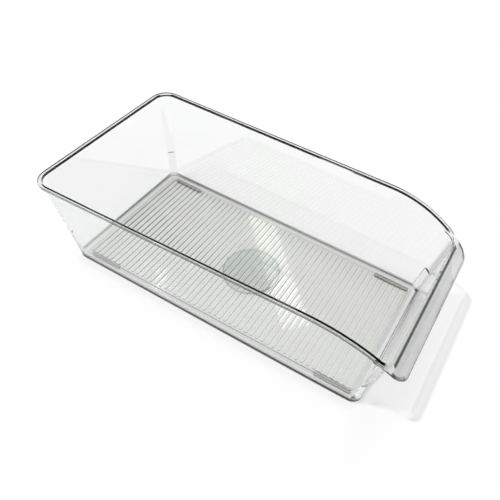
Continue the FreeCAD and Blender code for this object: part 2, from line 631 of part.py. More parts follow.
panel_ribs = doc.addObject("Part::Feature", "panel_ribs")
panel_ribs.Shape = all_ribs()
floor_liner = doc.addObject("Part::Fuse", "floor_liner")
floor_liner.Base = floor_panel
floor_liner.Tool = panel_ribs
doc.recompute()

os.makedirs("parts", exist_ok=True)
pieces = [bin_shell, floor_liner, base_disc] + feet
for item in doc.Objects:
    if "Invalid" in item.State or "Error" in item.State:
        raise RuntimeError(f"{item.Label} did not build: {item.State}")
for piece in pieces:
    if piece.Shape.isNull() or not piece.Shape.isValid():
        raise RuntimeError(f"{piece.Label} has no valid shape")
for piece in pieces:
    piece.Shape.exportStep(f"parts/{piece.Label}.step")
    print(piece.Label, len(piece.Shape.Solids), round(piece.Shape.Volume))
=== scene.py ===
import math
import bmesh
import bpy
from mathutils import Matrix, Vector


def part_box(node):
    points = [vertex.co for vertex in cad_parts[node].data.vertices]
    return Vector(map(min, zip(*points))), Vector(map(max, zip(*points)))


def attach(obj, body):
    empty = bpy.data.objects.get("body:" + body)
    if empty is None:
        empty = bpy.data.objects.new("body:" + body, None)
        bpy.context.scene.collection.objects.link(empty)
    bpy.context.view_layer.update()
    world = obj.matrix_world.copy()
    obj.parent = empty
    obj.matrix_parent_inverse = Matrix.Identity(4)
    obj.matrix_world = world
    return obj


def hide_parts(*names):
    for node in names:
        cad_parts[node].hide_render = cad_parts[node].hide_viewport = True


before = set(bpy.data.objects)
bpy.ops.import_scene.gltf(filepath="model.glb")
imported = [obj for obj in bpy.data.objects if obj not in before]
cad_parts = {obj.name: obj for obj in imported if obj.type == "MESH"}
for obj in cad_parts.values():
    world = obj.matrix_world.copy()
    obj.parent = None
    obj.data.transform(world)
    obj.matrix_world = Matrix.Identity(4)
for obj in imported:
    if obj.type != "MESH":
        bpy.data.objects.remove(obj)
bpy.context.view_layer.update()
scene = bpy.context.scene
scene.view_settings.view_transform = "Standard"

# Everything is modelled in millimetres and brought to metres when a piece is finished.
millimetre = 0.001
close, exact = 0.01, 0.001  # how near two places count as one, in millimetres
upward = 0.99  # a face whose normal has more than this along Z is level
sharpAngle = 38  # degrees, past which an edge stays sharp


# Modelling helpers
def deselectAll():
    if bpy.context.object and bpy.context.object.mode != "OBJECT":
        bpy.ops.object.mode_set(mode="OBJECT")
    bpy.ops.object.select_all(action="DESELECT")


def makeActive(piece):
    deselectAll()
    piece.select_set(True)
    bpy.context.view_layer.objects.active = piece


def startEdit(piece, kind="VERT"):
    makeActive(piece)
    bpy.ops.object.mode_set(mode="EDIT")
    bpy.ops.mesh.select_mode(type=kind)
    bpy.ops.mesh.select_all(action="DESELECT")


def endEdit():
    bpy.ops.object.mode_set(mode="OBJECT")


def pick(piece, test, kind="verts"):
    # selects what passes the test in edit mode, and nothing else
    bpy.ops.mesh.select_all(action="DESELECT")
    mesh = bmesh.from_edit_mesh(piece.data)
    for part in [part for part in getattr(mesh, kind) if test(part)]:
        part.select_set(True)
    if kind == "verts":
        mesh.select_flush(True)
    bmesh.update_edit_mesh(piece.data)


def joinPieces(pieces, name):
    deselectAll()
    for piece in pieces:
        piece.select_set(True)
    bpy.context.view_layer.objects.active = pieces[0]
    bpy.ops.object.join()
    pieces[0].name = pieces[0].data.name = name
    return pieces[0]


def applyModifier(piece, kind, **settings):
    makeActive(piece)
    modifier = piece.modifiers.new(kind.lower(), kind)
    for setting, value in settings.items():
        setattr(modifier, setting, value)
    bpy.ops.object.modifier_apply(modifier=modifier.name)


def combine(piece, other, operation):
    # joins or cuts one solid with another, which is then thrown away
    applyModifier(piece, "BOOLEAN", object=other, operation=operation, solver="EXACT")
    bpy.data.objects.remove(other)


def finishPiece(piece, material):
    # to metres, smooth shading with the flat faces kept flat, and the finish
    makeActive(piece)
    piece.scale = (millimetre,) * 3
    bpy.ops.object.transform_apply(location=True, rotation=True, scale=True)
    bpy.ops.object.shade_smooth_by_angle(angle=math.radians(sharpAngle))
    applyModifier(piece, "WEIGHTED_NORMAL", mode="FACE_AREA", weight=90, keep_sharp=True)
    piece.data.materials.clear()
    piece.data.materials.append(material)


# Shader helpers
class Wire:  # one socket; maths on it adds Math nodes
    def __init__(self, graph, socket):
        self.graph, self.socket = graph, socket

    def maths(self, operation, first, second):
        return self.graph.put("ShaderNodeMath", {"operation": operation}, {0: first, 1: second})

    def __add__(self, other):
        return self.maths("ADD", self, other)

    def __radd__(self, other):
        return self.maths("ADD", other, self)

    def __sub__(self, other):
        return self.maths("SUBTRACT", self, other)

    def __rsub__(self, other):
        return self.maths("SUBTRACT", other, self)

    def __mul__(self, other):
        return self.maths("MULTIPLY", self, other)

    def __rmul__(self, other):
        return self.maths("MULTIPLY", other, self)

    def __abs__(self):
        return self.maths("ABSOLUTE", self, 0.0)


class Graph:  # the nodes of one material or world
    def __init__(self, owner):
        owner.use_nodes = True
        self.tree = owner.node_tree
        self.tree.nodes.clear()

    def put(self, kind, settings=None, sockets=None, output=0):
        # adds a node; sockets and the output are given by name or number
        node = self.tree.nodes.new(kind)
        for setting, value in (settings or {}).items():
            if setting == "stops":
                ramp = node.color_ramp.elements
                while len(ramp) < len(value):
                    ramp.new(1.0)
                for stop, (position, colour) in zip(ramp, value):
                    stop.position, stop.color = position, colour
            else:
                setattr(node, setting, value)
        for socket, value in (sockets or {}).items():
            if isinstance(value, Wire):
                self.tree.links.new(value.socket, node.inputs[socket])
            else:
                node.inputs[socket].default_value = value
        return Wire(self, node.outputs[output]) if node.outputs else node


def newMaterial(name):
    material = bpy.data.materials.new(name)
    return material, Graph(material)


# Camera
camera = {
    "place": (-0.3099, -0.1804, 0.4260),
    "turn": (42.513, -1.747, -57.541),  # degrees about X, Y, Z
    "lens": 37.947,
    "sensor": 36,
}
deselectAll()
bpy.ops.object.camera_add(location=camera["place"])
cameraPiece = bpy.context.object
cameraPiece.rotation_euler = [math.radians(a) for a in camera["turn"]]
cameraPiece.data.lens = camera["lens"]
cameraPiece.data.sensor_width = camera["sensor"]
cameraPiece.data.clip_start = 0.01
scene.camera = cameraPiece
print("camera placed")

# The bin's sizes
bin = {
    "floorZ": 3.9, "leanZ": 7.0, "rimZ": 105.1, "baseZ": 1.5,
    "dropStart": -99.42, "dropRadius": 115.32,
    "floor": {
        "backHalf": 80.2, "bendHalf": 76.7, "bendRadius": 3000,
        "back": 165.52, "front": -155.98, "backCorner": 7.6, "frontCorner": 7.6,
    },
    "mouth": {
        "backHalf": 94.3, "bendHalf": 86.0, "bendRadius": 828,
        "back": 180.4, "front": -173.58, "backCorner": 14.5, "frontCorner": 8.0,
    },
    "wall": 1.7, "rimWidth": 4.4, "frontRimWidth": 2.6, "rimThickness": 3.0,
    "rimInnerRound": 1.4, "rimOuterRound": 0.6, "rimLowRound": 0.4, "rimRootRound": 0.3,
    "frontInnerRound": 0.9, "narrowFrom": 40, "narrowOver": 30,  # ahead of the drop's start
    "baseRound": 1.2, "floorRound": 4.0, "floorRing": 3.2, "frontBandZ": 78.3,
    "rimSteps": 6, "floorSteps": 6, "baseSteps": 7, "cornerSteps": 10,
    "sideStations": 12, "stationReach": 0.8,
}


def halfWidth(level, grow, y):
    # half the width inside the walls at y: straight back from the bend, curved ahead of it
    half, bend = level["backHalf"] + grow, level["bendHalf"] + grow
    back, start = level["back"] + grow, bin["dropStart"]
    radius = level["bendRadius"] + grow
    lean = math.atan2(half - bend, back - start)
    if y >= start:
        return bend + (half - bend) * (y - start) / (back - start)
    centreX, centreY = bend - radius * math.cos(lean), start + radius * math.sin(lean)
    return centreX + math.sqrt(radius ** 2 - (y - centreY) ** 2)


def flatOutline(name, level, z, grow, frontGrow=None, corner=None):
    # a plane cut into stations along Y, each drawn in to its own width, with rounded corners
    frontGrow = grow if frontGrow is None else frontGrow
    back, front = level["back"] + grow, level["front"] - frontGrow
    start, steps = bin["dropStart"], bin["sideStations"]
    run = (front - start) * bin["stationReach"]
    stations = [start + run * i / steps for i in range(steps + 1)]
    deselectAll()
    bpy.ops.mesh.primitive_plane_add(size=2, location=(0, (back + front) / 2, z))
    ring = bpy.context.object
    bpy.ops.object.transform_apply(location=True)
    ring.name = name
    startEdit(ring)
    bpy.ops.mesh.select_all(action="SELECT")
    bpy.ops.transform.resize(
        value=(1, (back - front) / 2, 1), center_override=(0, (back + front) / 2, z)
    )
    for y in stations:
        bpy.ops.mesh.select_all(action="SELECT")
        bpy.ops.mesh.bisect(plane_co=(0, y, z), plane_no=(0, 1, 0))
    for y in [back, front] + stations:
        pick(ring, lambda v: abs(v.co.y - y) < close)
        bpy.ops.transform.resize(
            value=(halfWidth(level, grow, y), 1, 1), center_override=(0, y, z)
        )
    bpy.ops.mesh.select_all(action="SELECT")
    bpy.ops.mesh.dissolve_faces()
    for y, radius in (
        (back, corner or level["backCorner"] + grow),
        (front, corner or level["frontCorner"] + frontGrow),
    ):
        pick(ring, lambda v: abs(v.co.y - y) < close)
        bpy.ops.mesh.bevel(
            offset=radius, offset_type="OFFSET", segments=bin["cornerSteps"],
            affect="VERTICES", clamp_overlap=False,
        )
    endEdit()
    return ring


def rimHeight(y):
    # the rim runs level and then curves down to the front
    ahead = max(0.0, bin["dropStart"] - y)
    return bin["rimZ"] - bin["dropRadius"] + math.sqrt(bin["dropRadius"] ** 2 - ahead ** 2)


def dropOutlineFaces(piece):
    startEdit(piece)
    bpy.ops.mesh.select_all(action="SELECT")
    bpy.ops.mesh.delete(type="ONLY_FACE")
    endEdit()


def wallTube(name, grow, frontGrow=None, below=0.0):
    # a leaning wall surface from the top of the upright foot to the rim line, or some way below it
    low = flatOutline(name + "Low", bin["floor"], bin["leanZ"], grow, frontGrow)
    high = flatOutline(name + "High", bin["mouth"], bin["rimZ"], grow, frontGrow)
    for ring in (low, high):
        dropOutlineFaces(ring)
    tube = joinPieces([low, high], name)
    startEdit(tube, "EDGE")
    bpy.ops.mesh.select_all(action="SELECT")
    bpy.ops.mesh.bridge_edge_loops()
    bpy.ops.mesh.select_mode(type="VERT")
    mesh = bmesh.from_edit_mesh(tube.data)
    slides = []
    for top in mesh.verts:
        if top.co.z < bin["rimZ"] - close:
            continue
        foot = next(e.other_vert(top) for e in top.link_edges
                    if e.other_vert(top).co.z < bin["rimZ"] - close)
        share = 1.0
        for again in range(30):  # how far up its own line the vertex meets the rim
            y = foot.co.y + (top.co.y - foot.co.y) * share
            share = (rimHeight(y) - below - foot.co.z) / (top.co.z - foot.co.z)
        slides.append((top.co.copy(), foot.co.copy(), share))
    for place, foot, share in slides:
        if share > 0.99999:  # it is there already
            continue
        pick(tube, lambda v: (v.co - place).length < exact)
        bpy.ops.transform.resize(value=(share,) * 3, center_override=foot)
    endEdit()
    return tube


def atFoot(vertex):
    return vertex.co.z < bin["leanZ"] + close


def keepTopRing(tube):
    startEdit(tube)
    pick(tube, atFoot)
    bpy.ops.mesh.delete(type="VERT")
    endEdit()
    return tube


# the rings of vertices in the walls, from the inner foot over the rim bead to the outer foot
rings = {"innerFoot": 1, "innerRim": 2, "beadTop": 3, "beadLow": 4, "beadRoot": 5, "outerFoot": 6}


def markRing(piece, name, test=lambda v: True):
    # remembers which ring a vertex belongs to
    layer = piece.data.attributes.get("ring") or piece.data.attributes.new("ring", "INT", "POINT")
    for vertex in piece.data.vertices:
        if test(vertex):
            layer.data[vertex.index].value = rings[name]


def ringEdges(mesh, name):
    layer = mesh.verts.layers.int["ring"]
    return [e for e in mesh.edges if all(v[layer] == rings[name] for v in e.verts)]


def pickRings(piece, names):
    bpy.ops.mesh.select_all(action="DESELECT")
    mesh = bmesh.from_edit_mesh(piece.data)
    for name in names:
        for edge in ringEdges(mesh, name):
            edge.select_set(True)
    bmesh.update_edit_mesh(piece.data)


def bevelPicked(radius, steps):
    bpy.ops.mesh.bevel(offset=radius, offset_type="OFFSET", segments=steps, affect="EDGES",
                       clamp_overlap=False)


def bevelFlatEdges(piece, z, radius, steps):
    pick(piece, lambda e: all(abs(v.co.z - z) < exact for v in e.verts), "edges")
    bevelPicked(radius, steps)


def bevelRing(piece, name, radius):
    pickRings(piece, (name,))
    bevelPicked(radius, bin["rimSteps"])


# The walls: the inner face, the three lines of the rim bead and the outer face, joined in turn
inner = wallTube("innerWall", 0.0)
markRing(inner, "innerRim")
markRing(inner, "innerFoot", atFoot)
beadTop = keepTopRing(wallTube("beadTop", bin["rimWidth"], bin["frontRimWidth"]))
markRing(beadTop, "beadTop")
beadLow = keepTopRing(
    wallTube("beadLow", bin["rimWidth"], bin["frontRimWidth"], bin["rimThickness"])
)
markRing(beadLow, "beadLow")
outer = wallTube("outerWall", bin["wall"], below=bin["rimThickness"])
markRing(outer, "beadRoot")
markRing(outer, "outerFoot", atFoot)
shell = joinPieces([inner, beadTop, beadLow, outer], "binShell")
startEdit(shell, "EDGE")
for pair in (("innerRim", "beadTop"), ("beadTop", "beadLow"), ("beadLow", "beadRoot")):
    pickRings(shell, pair)
    bpy.ops.mesh.bridge_edge_loops()
print("walls and rim bead made")

# The upright foot of the walls, the floor and the underside.
for name, z in (("innerFoot", bin["floorZ"]), ("outerFoot", bin["baseZ"])):
    pickRings(shell, (name,))
    bpy.ops.mesh.extrude_edges_move(
        TRANSFORM_OT_translate={"value": (0, 0, z - bin["leanZ"])}
    )
    bpy.ops.mesh.edge_face_add()
bpy.ops.mesh.select_all(action="SELECT")
bpy.ops.mesh.normals_make_consistent(inside=False)
bevelFlatEdges(shell, bin["floorZ"], bin["floorRound"], bin["floorSteps"])
pick(shell, lambda f: f.normal.z > upward
     and abs(f.calc_center_median().z - bin["floorZ"]) < close, "faces")
bpy.ops.mesh.inset(thickness=bin["floorRing"], depth=0)
bevelFlatEdges(shell, bin["baseZ"], bin["baseRound"], bin["baseSteps"])

# The rim's rounds. The inner one narrows to its size at the front, so it is a weighted bevel.
bevelRing(shell, "beadRoot", bin["rimRootRound"])
bevelRing(shell, "beadLow", bin["rimLowRound"])
mesh = bmesh.from_edit_mesh(shell.data)
weights = mesh.edges.layers.float.new("bevel_weight_edge")
for edge in ringEdges(mesh, "innerRim"):
    y = (edge.verts[0].co.y + edge.verts[1].co.y) / 2
    ahead = min(1.0, max(0.0, (bin["dropStart"] - bin["narrowFrom"] - y) / bin["narrowOver"]))
    edge[weights] = 1 + (bin["frontInnerRound"] / bin["rimInnerRound"] - 1) * ahead
bmesh.update_edit_mesh(shell.data)
endEdit()
applyModifier(shell, "BEVEL", width=bin["rimInnerRound"], segments=bin["rimSteps"],
              limit_method="WEIGHT", use_clamp_overlap=False)
startEdit(shell, "EDGE")
bevelRing(shell, "beadTop", bin["rimOuterRound"])

# A line across the front wall, so that its face ends below the rim.
pick(shell, lambda f: f.calc_center_median().y < bin["floor"]["front"], "faces")
bpy.ops.mesh.bisect(plane_co=(0, 0, bin["frontBandZ"]), plane_no=(0, 0, 1))
endEdit()
print("base, floor and rim rounded")

# The pull lip: a flat tongue cut into stations, dropped onto its curve and given its thickness.
lip = {
    "creaseY": -171.62, "creaseZ": 78.9, "tipY": -184.82, "drop": 12.0, "radius": 60.0,
    "rootY": -157.62, "rootHalf": 84.8, "tipHalf": 81.1, "corner": 11.0,
    "thickness": 2.4, "edgeRound": 1.1, "edgeAngle": 50, "edgeSteps": 4,
    "cornerSteps": 12, "stations": 18, "endBands": (2.8, 4.0, 5.5, 8.0),
    "stopDepth": 1.1, "stopAbove": 9.0,  # the root ends this far inside the walls
}


def lipHeight(y):
    start = Vector((lip["creaseY"], lip["creaseZ"]))
    tip = Vector((lip["tipY"], lip["creaseZ"] - lip["drop"]))
    chord = tip - start
    inward = Vector((-chord.y, chord.x)).normalized()
    centre = (start + tip) / 2 + inward * math.sqrt(lip["radius"] ** 2 - chord.length ** 2 / 4)
    return centre.y + math.sqrt(lip["radius"] ** 2 - (y - centre.x) ** 2)


middle, lipLength = (lip["rootY"] + lip["tipY"]) / 2, lip["rootY"] - lip["tipY"]
deselectAll()
bpy.ops.mesh.primitive_plane_add(size=2, location=(0, middle, 0))
lipPiece = bpy.context.object
bpy.ops.object.transform_apply(location=True)
lipPiece.name = "pullLip"
startEdit(lipPiece)
for side, y, half in ((1, lip["rootY"], lip["rootHalf"]), (-1, lip["tipY"], lip["tipHalf"])):
    pick(lipPiece, lambda v: abs(v.co.y - middle - side) < close)
    bpy.ops.transform.resize(value=(half, 1, 1), center_override=(0, middle, 0))
    bpy.ops.transform.translate(value=(0, y - middle - side, 0))
pick(lipPiece, lambda v: abs(v.co.y - lip["tipY"]) < close)
bpy.ops.mesh.bevel(offset=lip["corner"], offset_type="OFFSET", segments=lip["cornerSteps"],
                   affect="VERTICES", clamp_overlap=False)
for i in range(1, lip["stations"]):
    bpy.ops.mesh.select_all(action="SELECT")
    bpy.ops.mesh.bisect(plane_co=(0, lip["tipY"] + lipLength * i / lip["stations"], 0),
                        plane_no=(0, 1, 0))
slope = (lip["rootHalf"] - lip["tipHalf"]) / lipLength
for side in (-1, 1):  # bands along the two ends
    for band in lip["endBands"]:
        bpy.ops.mesh.select_all(action="SELECT")
        bpy.ops.mesh.bisect(plane_co=(side * (lip["tipHalf"] - band), lip["tipY"], 0),
                            plane_no=(side, -slope, 0))
heights = sorted({round(v.co.y, 5) for v in bmesh.from_edit_mesh(lipPiece.data).verts})
for y in heights:
    pick(lipPiece, lambda v: abs(v.co.y - y) < exact / 10 and abs(v.co.z) < exact)
    bpy.ops.transform.translate(value=(0, 0, lipHeight(y)))
endEdit()
applyModifier(lipPiece, "SOLIDIFY", thickness=lip["thickness"], offset=-1)
applyModifier(lipPiece, "BEVEL", width=lip["edgeRound"], segments=lip["edgeSteps"],
              limit_method="ANGLE", angle_limit=math.radians(lip["edgeAngle"]),
              use_clamp_overlap=False)
print("pull lip made")

# The lip stops inside the thickness of the walls.
stopper = wallTube("stopper", lip["stopDepth"], below=-lip["stopAbove"])
startEdit(stopper, "EDGE")
for test in (atFoot, lambda v: not atFoot(v)):
    pick(stopper, lambda e: all(test(v) for v in e.verts), "edges")
    bpy.ops.mesh.edge_face_add()
bpy.ops.mesh.select_all(action="SELECT")
bpy.ops.mesh.normals_make_consistent(inside=False)
endEdit()
combine(lipPiece, stopper, "DIFFERENCE")
combine(shell, lipPiece, "UNION")

# Stacking ribs: a flat facet across each corner, leaning with it and stopping level.
stackRib = {
    "frontHalf": 4.8, "backHalf": 3.1, "reach": 5.2, "backReach": 3.0, "height": 31.0, "sunk": 1,
}
ribLow, ribTop = bin["floorZ"] - stackRib["sunk"], bin["floorZ"] + stackRib["height"]
rise = (ribTop - bin["leanZ"]) / (bin["rimZ"] - bin["leanZ"])
for end, side in ((1, 1), (1, -1), (-1, 1), (-1, -1)):
    floorY, mouthY = (bin[level]["back" if end > 0 else "front"] for level in ("floor", "mouth"))
    low = Vector((halfWidth(bin["floor"], 0, floorY), floorY, ribLow))
    high = Vector((halfWidth(bin["mouth"], 0, mouthY), mouthY, bin["rimZ"]))
    inward = Vector((-1, -end, 0)).normalized()
    across = Vector((-end * inward.y, end * inward.x, 0))
    deselectAll()
    bpy.ops.mesh.primitive_cube_add(size=2)
    rib = bpy.context.object
    startEdit(rib)
    for level, corner, z in ((-1, low, ribLow), (1, low.lerp(high, rise), ribTop)):
        for depth, reach, half in ((-1, "reach", "frontHalf"), (1, "backReach", "backHalf")):
            for width in (-1, 1):
                place = corner + inward * stackRib[reach] + across * width * stackRib[half]
                place.z = z
                place.x *= side
                cube = Vector((width, depth, level))
                pick(rib, lambda v: (v.co - cube).length < close)
                bpy.ops.transform.translate(value=place - cube)
    bpy.ops.mesh.select_all(action="SELECT")
    bpy.ops.mesh.normals_make_consistent(inside=False)
    endEdit()
    combine(shell, rib, "UNION")
print("stacking ribs made")

# Seats in the underside for the feet and the disc
seat = {"clearance": 0.06, "cutDepth": 4, "discSides": 96}


def seatCutter(node):
    low, high = (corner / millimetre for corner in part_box(node))
    size = high - low
    place = (low + high) / 2
    place.z = high.z + seat["clearance"] - seat["cutDepth"] / 2
    deselectAll()
    if node == "base_disc":
        bpy.ops.mesh.primitive_cylinder_add(
            vertices=seat["discSides"], radius=size.x / 2 + seat["clearance"],
            depth=seat["cutDepth"], location=place,
        )
    else:
        bpy.ops.mesh.primitive_cube_add(
            size=1, location=place,
            scale=(size.x + seat["clearance"] * 2, size.y + seat["clearance"] * 2,
                   seat["cutDepth"]),
        )
    bpy.ops.object.transform_apply(location=True, scale=True)
    return bpy.context.object


for node in ("base_disc", "foot_back_left", "foot_back_right", "foot_front_left",
             "foot_front_right"):
    combine(shell, seatCutter(node), "DIFFERENCE")
print("seats cut")

# Drop-in ribbed panel
panel = {
    "inset": 7.0, "low": 4.1, "thickness": 1.2, "corner": 5.0, "margin": 2.0,
    "edgeRound": 0.6, "edgeSteps": 3,
    "ribPitch": 6.0, "ribWidth": 3.2, "ribHeight": 1.0, "ribRound": 0.8,
    "ribSunk": 0.3, "ribSteps": 3, "ribEndSteps": 8, "modelHalf": 10,
}
panelTop = panel["low"] + panel["thickness"]
plate = flatOutline("ribbedPanel", bin["floor"], panel["low"], -panel["inset"],
                    corner=panel["corner"])
startEdit(plate, "FACE")
bpy.ops.mesh.select_all(action="SELECT")
bpy.ops.mesh.extrude_region_move(TRANSFORM_OT_translate={"value": (0, 0, panel["thickness"])})
bpy.ops.mesh.select_all(action="SELECT")
bpy.ops.mesh.normals_make_consistent(inside=False)
bevelFlatEdges(plate, panelTop, panel["edgeRound"], panel["edgeSteps"])
pick(plate, lambda f: f.normal.z > upward, "faces")
bpy.ops.mesh.inset(thickness=panel["margin"] - panel["edgeRound"], depth=0)
endEdit()

# One short rib, its ends rounded by a hair less than half its width
ribDepth = panel["ribHeight"] + panel["ribSunk"]
deselectAll()
bpy.ops.mesh.primitive_cube_add(
    size=1, scale=(panel["modelHalf"] * 2, panel["ribWidth"], ribDepth)
)
ribModel = bpy.context.object
bpy.ops.object.transform_apply(scale=True)
startEdit(ribModel, "EDGE")
pick(ribModel, lambda e: abs(e.verts[0].co.z - e.verts[1].co.z) > close, "edges")
bpy.ops.mesh.bevel(offset=panel["ribWidth"] / 2 - close, segments=panel["ribEndSteps"],
                   affect="EDGES")
bevelFlatEdges(ribModel, ribDepth / 2, panel["ribRound"], panel["ribSteps"])
endEdit()

# Copies of it, each drawn out to the panel's width where it lies
ribs = []
firstY = bin["floor"]["front"] + panel["inset"]
lastY = bin["floor"]["back"] - panel["inset"]
count = int((lastY - firstY - 2 * panel["margin"] - panel["ribWidth"]) / panel["ribPitch"]) + 1
startY = (firstY + lastY) / 2 - (count - 1) * panel["ribPitch"] / 2
for i in range(count):
    y = startY + i * panel["ribPitch"]
    makeActive(ribModel)
    bpy.ops.object.duplicate(linked=False)
    rib = bpy.context.object
    reach = min(halfWidth(bin["floor"], -panel["inset"], y + side * panel["ribWidth"] / 2)
                for side in (-1, 1))
    nearEnd = min(y - firstY, lastY - y)
    if nearEnd < panel["corner"]:
        reach -= panel["corner"] - math.sqrt(
            panel["corner"] ** 2 - (panel["corner"] - nearEnd) ** 2
        )
    startEdit(rib)
    for side in (-1, 1):
        pick(rib, lambda v: v.co.x * side > 0)
        stretch = reach - panel["margin"] - panel["modelHalf"]
        bpy.ops.transform.translate(value=(side * stretch, 0, 0))
    bpy.ops.mesh.select_all(action="SELECT")
    bpy.ops.transform.translate(value=(0, y, panelTop + panel["ribHeight"] - ribDepth / 2))
    endEdit()
    ribs.append(rib)
bpy.data.objects.remove(ribModel)
allRibs = joinPieces(ribs, "ribs")
combine(plate, allRibs, "UNION")
print("panel made with", count, "ribs")

# Finishes
# the dark colour in each finish is what painted shade mixes the plastic's colour toward
clearPlastic = {
    "colour": (0.945, 0.955, 0.95), "paintedShadeColour": (0.04, 0.045, 0.042),
    "shadow": (0.92, 0.92, 0.92),  # what lamp light keeps as it passes
    "ior": 1.53, "roughness": 0.0, "waves": 0.01, "thinDim": 0.33,
}
ribbedPlastic = {
    "colour": (0.985, 0.99, 0.965), "paintedShadeColour": (0.05, 0.055, 0.05),
    "shadow": (0.965, 0.965, 0.96),
    "ior": 1.5, "roughness": 0.03, "waves": 0.0, "thinDim": 0.33,
}


def clearMaterial(name, look):
    # Clear plastic that lets lamp light through to what is below. Painted shade darkens its colour
    # where the faces' "edge" number says, and those faces also pass less lamp light. It is partly
    # plain clear where their "thin" number says.
    material, graph = newMaterial(name)
    place = graph.put("ShaderNodeTexCoord", output="Object")
    cloud = graph.put("ShaderNodeTexNoise", None, {"Vector": place, "Scale": 7.0, "Detail": 2.0})
    tint = graph.put("ShaderNodeValToRGB", {"stops": [
        (0.35, tuple(c * k for c, k in zip(look["colour"], (0.995, 1, 0.99))) + (1,)),
        (0.65, tuple(c * k for c, k in zip(look["colour"], (1, 0.99, 1))) + (1,)),
    ]}, {"Fac": cloud})
    # painted shade: the faces' "edge" number mixes the colour toward the dark shade colour
    edge = graph.put("ShaderNodeAttribute", {"attribute_name": "edge"}, output="Fac")
    tint = graph.put("ShaderNodeMix", {"data_type": "RGBA"},
                     {0: edge, 6: tint, 7: look["paintedShadeColour"] + (1,)}, output=2)
    wave = graph.put("ShaderNodeTexNoise", None, {"Vector": place, "Scale": 28.0, "Detail": 1.0})
    bump = graph.put("ShaderNodeBump", None, {"Height": wave, "Strength": look["waves"],
                                              "Distance": 0.002})
    shader = graph.put("ShaderNodeBsdfPrincipled", None, {
        "Base Color": tint, "Roughness": look["roughness"], "IOR": look["ior"],
        "Transmission Weight": 1.0, "Normal": bump,
    })
    through = graph.put("ShaderNodeBsdfTransparent", None, {"Color": look["shadow"] + (1,)})
    lampRay, softRay = (graph.put("ShaderNodeLightPath", None, None, output)
                        for output in ("Is Shadow Ray", "Is Diffuse Ray"))
    lit = graph.put("ShaderNodeMath", {"operation": "MAXIMUM"}, {0: lampRay, 1: softRay})
    thin = graph.put("ShaderNodeAttribute", {"attribute_name": "thin"}, output="Fac")
    passing = lit * (1 - edge * 2 - thin * look["thinDim"]) + (1 - lit) * thin
    shader = graph.put("ShaderNodeMixShader", None, {0: passing, 1: shader, 2: through})
    graph.put("ShaderNodeOutputMaterial", None, {"Surface": shader})
    return material


def markFaces(piece, name, amountOf):
    # a number from 0 to 1 on each face, which the material reads
    layer = piece.data.attributes.new(name, "FLOAT", "FACE")
    for face in piece.data.polygons:
        layer.data[face.index].value = amountOf(face.center, face.normal)


# Painted shade on the clear plastic: how dark each place is painted, from 0 to 1, standing in for
# the dark lines and bands that bent and mirrored light and contact shadow draw at the crease, lip,
# rounds, rim bead, floor ring, ribs and seats, and the limits of each place, in millimetres or as
# the share of a normal along an axis.
paintedShadePlaces = {
    "acrossScale": 90, "alongScale": 175,  # the bin's rough half sizes, to tell out from in
    "crease": {"shade": 0.99, "behind": 0.1, "reach": 0.8, "half": 74, "low": 70, "flat": 0.3},
    "lip": {
        "shade": 0.1, "growth": 0.1, "endShade": 0.95, "frontShade": 0.3, "frontWidth": 2.0,
        "gap": 1.5, "low": 60, "endShare": 0.7,
    },
    "base": {
        "outerShade": 0.55, "innerShade": 0.25, "frontShare": 0.1, "frontReach": 6,
        "high": 9, "steep": 0.2, "flat": 0.97,
    },
    "foot": {"shade": 0.45, "outward": 0.3, "flat": 0.2},
    "floorRing": {"shade": 0.22, "half": 70, "end": 8},
    "bead": {"shade": 0.8, "below": 0.7, "beyond": 0.1, "flat": 0.6},
    "stackRib": {
        "topShade": 0.95, "topReach": 0.1, "topFlat": 0.26,
        "faceShade": 0.12, "low": 5, "inward": 0.5,
    },
    "seat": {"shade": 0.9, "high": 2.4, "flat": 0.5, "outward": 0.2},
    "panel": {
        "edgeShade": 0.6, "ribShade": 0.12, "steep": 0.95,
        "marginShade": 0.15, "half": 67, "end": 3,
    },
}
frontWall = {"thin": 0.6, "low": 9, "faceFrom": 0.5, "faceOver": 0.4}


def lipInset(place):
    # how far inside the lip's outline a place is
    along = (place.y - lip["tipY"]) / lipLength
    half = lip["tipHalf"] + (lip["rootHalf"] - lip["tipHalf"]) * along
    beside, behind = half - abs(place.x), place.y - lip["tipY"]
    if max(beside, behind) > lip["corner"]:
        return min(beside, behind)
    return lip["corner"] - math.hypot(lip["corner"] - beside, lip["corner"] - behind)


def lipPaintedShade(centre):
    # painted shade: dark along the ends, less so along the front, and a little more towards the tip
    # elsewhere
    limits = paintedShadePlaces["lip"]
    out = (lip["creaseY"] - centre.y) / (lip["creaseY"] - lip["tipY"])
    atEnd = lip["tipHalf"] - abs(centre.x) < lip["corner"] * limits["endShare"]
    if lipInset(centre) < (lip["endBands"][0] if atEnd else limits["frontWidth"]):
        return limits["endShade"] if atEnd else limits["frontShade"]
    return limits["shade"] + limits["growth"] * out


